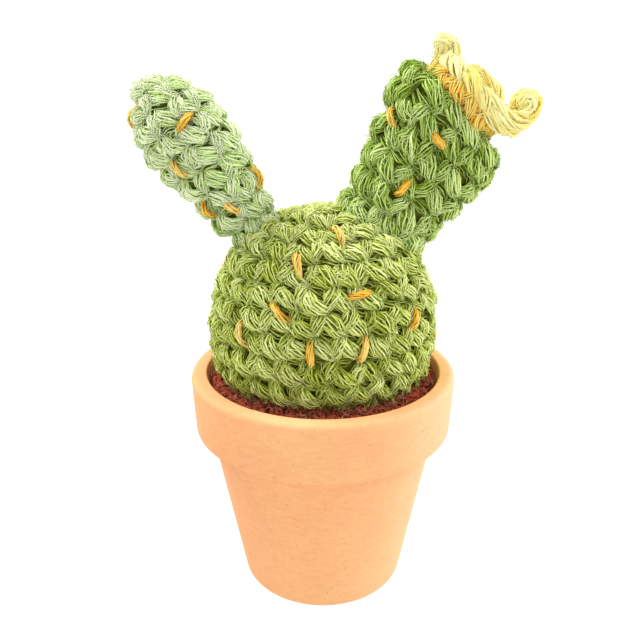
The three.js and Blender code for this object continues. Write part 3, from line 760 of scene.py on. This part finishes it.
def spine_strands(pad, length, seed):
    """The strands of each spine: yarn laid over the fabric, and sewn into it at both ends."""
    chance = np.random.default_rng(seed)
    shares = np.array([0.00, 0.09, 0.26, 0.5, 0.74, 0.91, 1.00])
    heights = np.array([-2.4, -0.8, 0.4, 0.8, 0.4, -0.8, -2.4])
    widths = np.array([0.45, 0.75, 0.95, 1.0, 0.95, 0.75, 0.45])
    strands = []
    for spine in pad.spines:
        points = spine["start"] + spine["along"] * (shares * length)[:, None] + spine["outward"] * heights[:, None]
        outward = np.tile(spine["outward"], (len(shares), 1))
        strands += strands_round(points, outward, widths, (0.62, 0.46), chance, chance.random(), twist=0.30,
                                 count=12, lowest=-0.6)
    return strands


def spine_nodes(side):
    return sorted(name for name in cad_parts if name.startswith(side + "_spine_"))


for side, pad, seed, length, paint in (("main", main_pad, 11, SPINE_LENGTH, green),
                                       ("left", left_pad, 12, SHORT_SPINE, lit_green),
                                       ("right", right_pad, 13, SHORT_SPINE, shaded_green)):
    middle, lighter, wobble = PAD_TONES[side]
    lines = list(stitch_lines(pad, seed, None if side == "main" else inside_main_pad, 0, wobble, middle, lighter))
    tufts = short_fibres(lines, seed, TUFTS, 1.7, 0.10, low=0.20)
    cover = [spun(side + "_pad_crochet", crochet_strands(lines, seed), paint, sides=3, steps=7),
             spun("tufts", tufts, paint, radius=TUFT_RADIUS, sides=3, steps=4),
             spun("plies", plies(lines), paint, radius=1.0, sides=5, steps=5),
             core("core", pad, 1.3, green_gap_shade)]
    piece = joined(side + "_pad_crochet", cover)
    carried(piece, "green_yarn", side + "_pad")
    hairs = short_fibres(lines, seed + 50, HAIRS, 2.1, 0.50, low=0.2)
    fluff = spun(side + "_pad_fluff", hairs, paint, radius=0.045, sides=3, steps=4)
    carried(fluff, "green_yarn")
    spines = spun(side + "_spine_yarn", spine_strands(pad, length, seed + 20), gold, steps=14)
    carried(spines, "gold_yarn", *spine_nodes(side))


# The soil and the filling under it

FIBRES = 2600
FIBRE_STEP = 0.55


def soil_fibres(seed=5):
    """Curly fibres teased out of the brown yarn, lying over it."""
    chance = np.random.default_rng(seed)
    strands = []
    edge = inside_radius(SOIL_EDGE) - 0.6
    for _ in range(FIBRES):
        angle = chance.random() * FULL_TURN
        radius = 17.0 + (edge - 17.0) * chance.random() ** 0.7
        heading, curl = chance.random() * FULL_TURN, chance.normal(0, 0.55)
        place = np.array([math.cos(angle) * radius, math.sin(angle) * radius])
        height = chance.random() * 0.9
        points = []
        for step in range(8):
            away = min(math.hypot(*place), edge) / max(math.hypot(*place), 0.1)
            place = place * away
            level = SOIL_TOP + (SOIL_EDGE - SOIL_TOP) * (math.hypot(*place) / edge) ** 2
            points.append((*place, level + height + 0.5 * math.sin(step * 0.9 + angle * 7)))
            heading += curl + chance.normal(0, 0.35)
            place = place + FIBRE_STEP * np.array([math.cos(heading), math.sin(heading)])
        count = len(points)
        strands.append((np.array(points), np.tile([0.0, 0, 1], (count, 1)), np.full(count, 0.5 + chance.random()),
                        np.full(count, chance.random()), float(chance.random())))
    return strands


soil_lines = list(stitch_lines(soil, 21, first=3, wobble=0.12))
ground = joined("soil_crochet", [
    spun("soil_crochet", plies(soil_lines), brown, radius=1.0, sides=5, steps=5),
    spun("fibres", soil_fibres(), brown, radius=0.08, sides=3, steps=8),
    core("core", soil, 1.4, brown_gap_shade)])
carried(ground, "brown_yarn", "soil_pad")

FILLING_LOW = 5.3
FILLING_HIGH = 46.1
FILLING_LUMP = 0.9


def filling_body():
    """The lump of stuffing in the pot, under the soil."""
    sides, rows = 72, 36
    vertices, faces = [], []
    for i in range(rows + 1):
        share = i / rows
        height = FILLING_LOW + (FILLING_HIGH - FILLING_LOW) * share
        full = float(np.interp(height, [FILLING_LOW, FILLING_HIGH], [filling_foot, filling_head]))
        rounding = math.sqrt(max(0.0, 1 - abs(2 * share - 1) ** 9))
        for j in range(sides):
            angle = j / sides * FULL_TURN
            lump = (math.sin(5 * angle + 9 * share) + math.sin(11 * angle - 17 * share + 1)
                    + math.sin(17 * angle + 31 * share + 2)) / 3
            radius = full * (0.85 + 0.15 * rounding) - FILLING_LUMP * (1 + lump) / 2
            vertices.append((radius * math.cos(angle), radius * math.sin(angle), height))
    for i in range(rows):
        for j in range(sides):
            k = (j + 1) % sides
            faces.append((i * sides + j, i * sides + k, (i + 1) * sides + k, (i + 1) * sides + j))
    low, high = len(vertices), len(vertices) + 1
    vertices += [(0, 0, FILLING_LOW), (0, 0, FILLING_HIGH)]
    for j in range(sides):
        k = (j + 1) % sides
        faces += [(low, k, j), (high, rows * sides + j, rows * sides + k)]
    obj = new_object("pot_filling", vertices, faces=faces)
    obj.data.materials.append(stuffing)
    obj.data.shade_smooth()
    return obj


filling_foot = inside_radius(FILLING_LOW) - 0.4
filling_head = inside_radius(FILLING_HIGH) - 0.4
filling = carried(filling_body(), "stuffing", "pot_stuffing")


# The flower, in its own frame as in the part's source

DISC_OUTLINE = [(0, 4.8), (3.4, 4.6), (6.8, 3.9), (9.3, 2.2), (8.9, -3.0)]
FLOWER_SHIFT = 0.6
FLOWER_STITCH = 4.6
PETAL_CUP = 1.2
PETAL_STRAND_RADIUS = 0.33
PETAL_FULLNESS = 0.6
PETAL_POINTS = 1.2           # round a petal, for each millimetre of its length
LOOSE_ENDS = 1200
# Each petal's direction round the flower, its rise and curl, its turn at the root and its twist from
# there, in degrees, its length and half-width, how far from the flower's middle it is rooted and how high
PETALS = [(10, 40, 380, 0, -20, 20.0, 3.0, 9.4, 2.8), (170, 38, 0, 75, 0, 6.8, 1.6, 7.4, 0.9),
          (222, 30, -10, 0, 10, 4.5, 3.2, 7.4, 2.2), (288, 44, 50, 0, 10, 7.8, 5.4, 7.2, 2.2)]
WIDE_PETAL = 4.0            # wider than this half-width, a petal is loops within loops
# The links of the chain round the flower's rim, each over the one before: degrees round the flower,
# distance from its middle, height and width share
RIM_LINKS = 13
RIM_LINK = [(-24, 7.4, 2.3, 0.45), (-13, 8.7, 3.5, 1.0), (0, 9.7, 3.7, 1.15), (14, 9.7, 2.5, 1.0),
            (24, 8.9, 1.5, 0.45)]
# Long stitches over the front of the rim, in the flower's frame
SWEEPS = [
    [(-8.5, -3.0, 2.2), (-5.5, -6.5, 2.7), (-1.5, -8.6, 1.9), (0.8, -8.6, 0.8)],
    [(-6.5, -4.0, 4.2), (-3.5, -7.6, 3.8), (0.5, -9.4, 2.7), (2.6, -9.2, 1.4)],
    [(-2.0, -8.0, 4.2), (2.6, -9.4, 3.9), (6.4, -8.2, 4.2), (9.6, -6.4, 5.4), (11.6, -4.6, 7.6)],
    [(1.4, -8.8, 2.9), (5.0, -9.0, 2.6), (8.6, -7.6, 3.2), (11.5, -5.6, 5.0), (12.8, -4.0, 7.5)],
    [(3.6, -8.6, 1.4), (7.0, -8.0, 1.3), (10.0, -6.4, 2.2), (12.4, -4.8, 4.2), (13.3, -3.2, 6.5)],
]


flower_lean = right_pad.lean + math.atan(right_pad.bend)
flower_out = np.array([math.sin(flower_lean), 0, math.cos(flower_lean)])
flower_down = np.array([math.cos(flower_lean), 0, -math.sin(flower_lean)])
flower_foot = right_pad.fabric(np.array(0.0), np.array(0.0)) + FLOWER_SHIFT * flower_down
flower_disc = Pad(DISC_OUTLINE, foot=flower_foot, lean=flower_lean, length=DISC_OUTLINE[0][1],
                  stitch=FLOWER_STITCH)


def in_flower(points):
    """Points of the flower's frame, as (towards its lower end, back, outwards), where they are."""
    points = np.asarray(points, float)
    return (flower_foot + points[:, :1] * flower_down + points[:, 1:2] * np.array([0, 1.0, 0])
            + points[:, 2:] * flower_out)


def on_petal(petal, out, aside):
    """A place on a petal, in the flower's frame: how far along it, and how far to one side."""
    azimuth, rise, curl, turn, twist, length, half, rooted, foot = petal
    share = out / length
    steps = (np.arange(12) + 0.5) / 12 * share
    headings = np.radians(rise + curl * np.maximum(steps, 0) ** 2)
    heading, turn = math.radians(rise + curl * max(share, 0) ** 2), math.radians(turn + twist * share)
    raised = PETAL_CUP * (aside / half) ** 2 + aside * math.sin(turn)
    x = rooted + out * np.cos(headings).mean() - raised * math.sin(heading)
    z = foot + out * np.sin(headings).mean() + raised * math.cos(heading)
    y = aside * math.cos(turn)
    around = -math.radians(azimuth)
    return np.array([x * math.cos(around) - y * math.sin(around), x * math.sin(around) + y * math.cos(around), z])


def facing(petal, out, aside):
    """Which way a petal's inner face looks at a place on it, in the flower's frame."""
    place = on_petal(petal, out, aside)
    normal = np.cross(on_petal(petal, out, aside + NORMAL_STEP) - place,
                      on_petal(petal, out + NORMAL_STEP, aside) - place)
    return normal / np.linalg.norm(normal)


def laid(places, facings, widths, half, chance, shade, count=11):
    """Strands along a path in the flower's frame."""
    outward = in_flower(facings) - flower_foot
    outward /= np.linalg.norm(outward, axis=1, keepdims=True)
    widths = np.full(len(places), 1.0) if widths is None else np.array(widths)
    middle = (in_flower(places), outward, widths * half[1] * PLY_SHARE / PETAL_STRAND_RADIUS,
              np.full(len(places), 0.5), shade)
    return [middle] + strands_round(in_flower(places), outward, widths, half, chance, shade, twist=0.32,
                                    count=count, lowest=-2, free=True)


def petal_strands(petal, chance):
    """A loop of yarn with smaller loops in it, or with lengths of yarn side by side in it."""
    length, half = petal[5:7]
    count = 9 + round(PETAL_POINTS * length)
    strands = []
    sizes = (1.0, 0.68, 0.36) if half > WIDE_PETAL else (1.0,)
    for size in sizes:
        spots = []
        for i in range(count):
            angle = i / (count - 1) * FULL_TURN
            aside = half * size * np.sign(math.sin(angle)) * abs(math.sin(angle)) ** PETAL_FULLNESS
            spots.append((length * size * (1 - math.cos(angle)) / 2, aside))
        # Smaller loops get a lower shade: painted shade in the petal's pocket
        strands += laid([on_petal(petal, *spot) for spot in spots], [facing(petal, *spot) for spot in spots],
                        None, (0.95, 0.95), chance, size * (0.7 + 0.3 * chance.random()))
    if len(sizes) > 1:
        return strands
    for aside in (-half / 2, 0.0, half / 2):
        spots = [(share * (length - 0.8), aside) for share in np.linspace(-0.1, 1.0, count // 2 - 2)]
        strands += laid([on_petal(petal, *spot) for spot in spots], [facing(petal, *spot) for spot in spots],
                        None, (0.95, 0.85), chance, 0.2 + 0.6 * chance.random())
    return strands


def rim_strands(chance):
    """The links of a chain round the flower's rim."""
    strands = []
    for i in range(RIM_LINKS):
        places, facings = [], []
        nudge = chance.normal(0, 0.3, 2)
        for degrees, radius, height, _ in RIM_LINK:
            angle = (i / RIM_LINKS + degrees / 360) * FULL_TURN
            places.append(((radius + nudge[0]) * math.cos(angle), (radius + nudge[0]) * math.sin(angle),
                           height + nudge[1]))
            facings.append((math.cos(angle), math.sin(angle), 0.5))
        strands += laid(places, facings, [part[3] for part in RIM_LINK], (1.25, 1.05), chance,
                        0.4 + 0.6 * chance.random(), 13)
    return strands


def sweep_strands(chance):
    """The long stitches over the front of the rim."""
    strands = []
    for sweep in SWEEPS:
        places = np.array(sweep)
        facings = places * (0.6, 1.0, 0.0) + (0.0, 0.0, 3.0)
        widths = np.ones(len(places))
        widths[[0, -1]] = 0.6
        strands += laid(places, facings, widths, (0.88, 0.75), chance, 0.65 + 0.35 * chance.random(), 10)
    return strands


def loose_ends(strands, chance, count):
    """Fibres that leave some of the strands and stand off them."""
    ends = []
    steps = np.linspace(0, 1, 4)[:, None]
    for _ in range(count):
        points, around = strands[chance.integers(len(strands))][:2]
        spot = chance.integers(1, len(points) - 1)
        ahead = (points[spot + 1] - points[spot - 1]) * chance.choice([-1, 1])
        ahead /= np.linalg.norm(ahead)
        aside = np.cross(ahead, around[spot]) * chance.normal(0, 0.5)
        place = (points[spot] + (ahead + aside) * steps * chance.uniform(0.8, 1.8)
                 + around[spot] * (0.3 + steps ** 1.5 * chance.exponential(0.4)))
        ends.append((place, np.tile(around[spot], (4, 1)), np.array([1.0, 1.0, 0.9, 0.5]), np.ones(4), 1.0))
    return ends


def disc_yarn(seed, chance):
    """The flower's crocheted disc, darker and more orange where it meets the pad as painted shade: its strands and its
    plies.
    """
    strands, lines = [], []
    for points, outward, widths, half, shade in stitch_lines(flower_disc, seed):
        # Painted shade: the disc's tone is low by the pad and rises with height along the flower's axis
        shade = shade * 0.2 + max((points[2] - flower_foot) @ flower_out, 0) * 0.08
        lines.append((points, outward, widths * 0.82, half, shade))
        strands += strands_round(*lines[-1][:4], chance, shade)
    return [spun("disc_strands", strands, yellow), spun("disc_plies", plies(lines), yellow, radius=1.0, sides=5, steps=5)]


petal_chance = np.random.default_rng(31)
petals = [strand for petal in PETALS for strand in petal_strands(petal, petal_chance)]
rims = rim_strands(petal_chance)
sweeps = sweep_strands(petal_chance)
bloom = joined("flower_yarn", [
    spun("petal_yarn", petals, yellow, radius=PETAL_STRAND_RADIUS, steps=36),
    spun("rim_yarn", rims, yellow, radius=PETAL_STRAND_RADIUS, steps=8),
    spun("sweeps", sweeps, yellow, radius=PETAL_STRAND_RADIUS, steps=14),
    spun("loose_ends", loose_ends(petals + rims + sweeps, petal_chance, LOOSE_ENDS), yellow, radius=0.05,
         sides=3, steps=4),
    *disc_yarn(32, petal_chance),
    core("flower_core", flower_disc, 1.3, yellow_gap_shade)])
carried(bloom, "yellow_yarn", "flower")


# The pot

def arc(centre_radius, centre_height, radius, start, end, steps=6):
    """Points on a rounded corner of the pot's section."""
    turns = [start + (end - start) * i / steps for i in range(steps + 1)]
    return [(centre_radius + radius * math.cos(t), centre_height + radius * math.sin(t)) for t in turns]


def pot_section():
    """The clay's outline, from the drain hole outwards and back inside."""
    band = POT_HEIGHT - BAND_HEIGHT
    quarter = math.pi / 2
    lip = POT_HEIGHT - LIP_ROUND
    return ([(DRAIN_RADIUS, 0.0)]
            + arc(FOOT_RADIUS - FOOT_ROUND, FOOT_ROUND, FOOT_ROUND, -quarter, 0)
            + [(NECK_RADIUS, band - BAND_UNDERCUT)]
            + arc(BAND_FOOT_RADIUS - BAND_ROUND, band + BAND_ROUND, BAND_ROUND, -quarter, 0)
            + arc(RIM_RADIUS - LIP_ROUND, lip, LIP_ROUND, 0, quarter)
            + arc(MOUTH_RADIUS + INNER_ROUND, POT_HEIGHT - INNER_ROUND, INNER_ROUND, quarter, math.pi)
            + [(NECK_INSIDE, band), (FLOOR_RADIUS, FLOOR), (DRAIN_RADIUS, FLOOR)])


def turned(name, section, finish, sides=160):
    """A closed section turned round the pot's axis."""
    section = np.array(section)
    angles = np.arange(sides) / sides * FULL_TURN
    count = len(section)
    vertices = np.stack([np.outer(np.cos(angles), section[:, 0]), np.outer(np.sin(angles), section[:, 0]),
                         np.tile(section[:, 1], (sides, 1))], axis=-1)
    faces = []
    for i in range(sides):
        k = (i + 1) % sides
        for j in range(count):
            m = (j + 1) % count
            faces.append((i * count + j, k * count + j, k * count + m, i * count + m))
    obj = new_object(name, vertices, faces=faces)
    obj.data.materials.append(finish)
    obj.data.shade_smooth()
    obj.data.set_sharp_from_angle(angle=math.radians(40))
    return obj


pot = turned("terracotta_pot", pot_section(), clay)
carried(pot, "clay", "clay_pot")


# The camera, the floor and the light

FOCAL_PIXELS = 693.0
PHOTO_WIDTH = 640.0
SENSOR = 36.0
CAMERA_PLACE = (-0.721, -159.684, 126.232)
CAMERA_PITCH = 0.346


def make_camera():
    data = bpy.data.cameras.new("camera")
    data.sensor_width = SENSOR
    data.lens = FOCAL_PIXELS / PHOTO_WIDTH * SENSOR
    data.clip_start = 0.005
    camera = bpy.data.objects.new("camera", data)
    camera.location = (np.array(CAMERA_PLACE) + POT_AXIS) * METRES
    camera.rotation_euler = (math.pi / 2 - CAMERA_PITCH, 0, 0)
    bpy.context.scene.collection.objects.link(camera)
    bpy.context.scene.camera = camera


def make_sheet(name, corners, colour, glow=0.0):
    """A flat sheet of the studio: the white floor, or a card that keeps light off."""
    mesh = bpy.data.meshes.new(name)
    mesh.from_pydata(corners, [], [(0, 1, 2, 3)])
    sheet = bpy.data.objects.new(name, mesh)
    bpy.context.scene.collection.objects.link(sheet)
    paint, tree, shader = material(name)
    shader.inputs["Base Color"].default_value = (*colour, 1)
    shader.inputs["Roughness"].default_value = 1.0
    shader.inputs["Specular IOR Level"].default_value = 0.0
    shader.inputs["Emission Color"].default_value = (1, 1, 1, 1)
    shader.inputs["Emission Strength"].default_value = glow
    mesh.materials.append(paint)


def make_light(name, place, size, power, aim=(0.0, 0.0, 0.06)):
    data = bpy.data.lights.new(name, "AREA")
    data.shape = "DISK"
    data.size = size
    data.energy = power
    lamp = bpy.data.objects.new(name, data)
    lamp.location = place
    lamp.rotation_euler = (Vector(aim) - Vector(place)).to_track_quat("-Z", "Y").to_euler()
    bpy.context.scene.collection.objects.link(lamp)


make_camera()
make_sheet("floor", [(-3, -3, 0), (3, -3, 0), (3, 3, 0), (-3, 3, 0)], (0.1, 0.1, 0.1), glow=1.03)
make_light("key", (0.80, 0.10, 0.60), 0.6, 6.0)
make_light("back", (-0.45, 0.25, 0.70), 0.5, 7.5, (-0.03, 0, 0.11))
world = bpy.data.worlds.new("studio")
world.use_nodes = True
world.node_tree.nodes["Background"].inputs[0].default_value = (1, 1, 1, 1)
world.node_tree.nodes["Background"].inputs[1].default_value = 1.03
bpy.context.scene.world = world
bpy.context.scene.view_settings.view_transform = "Standard"
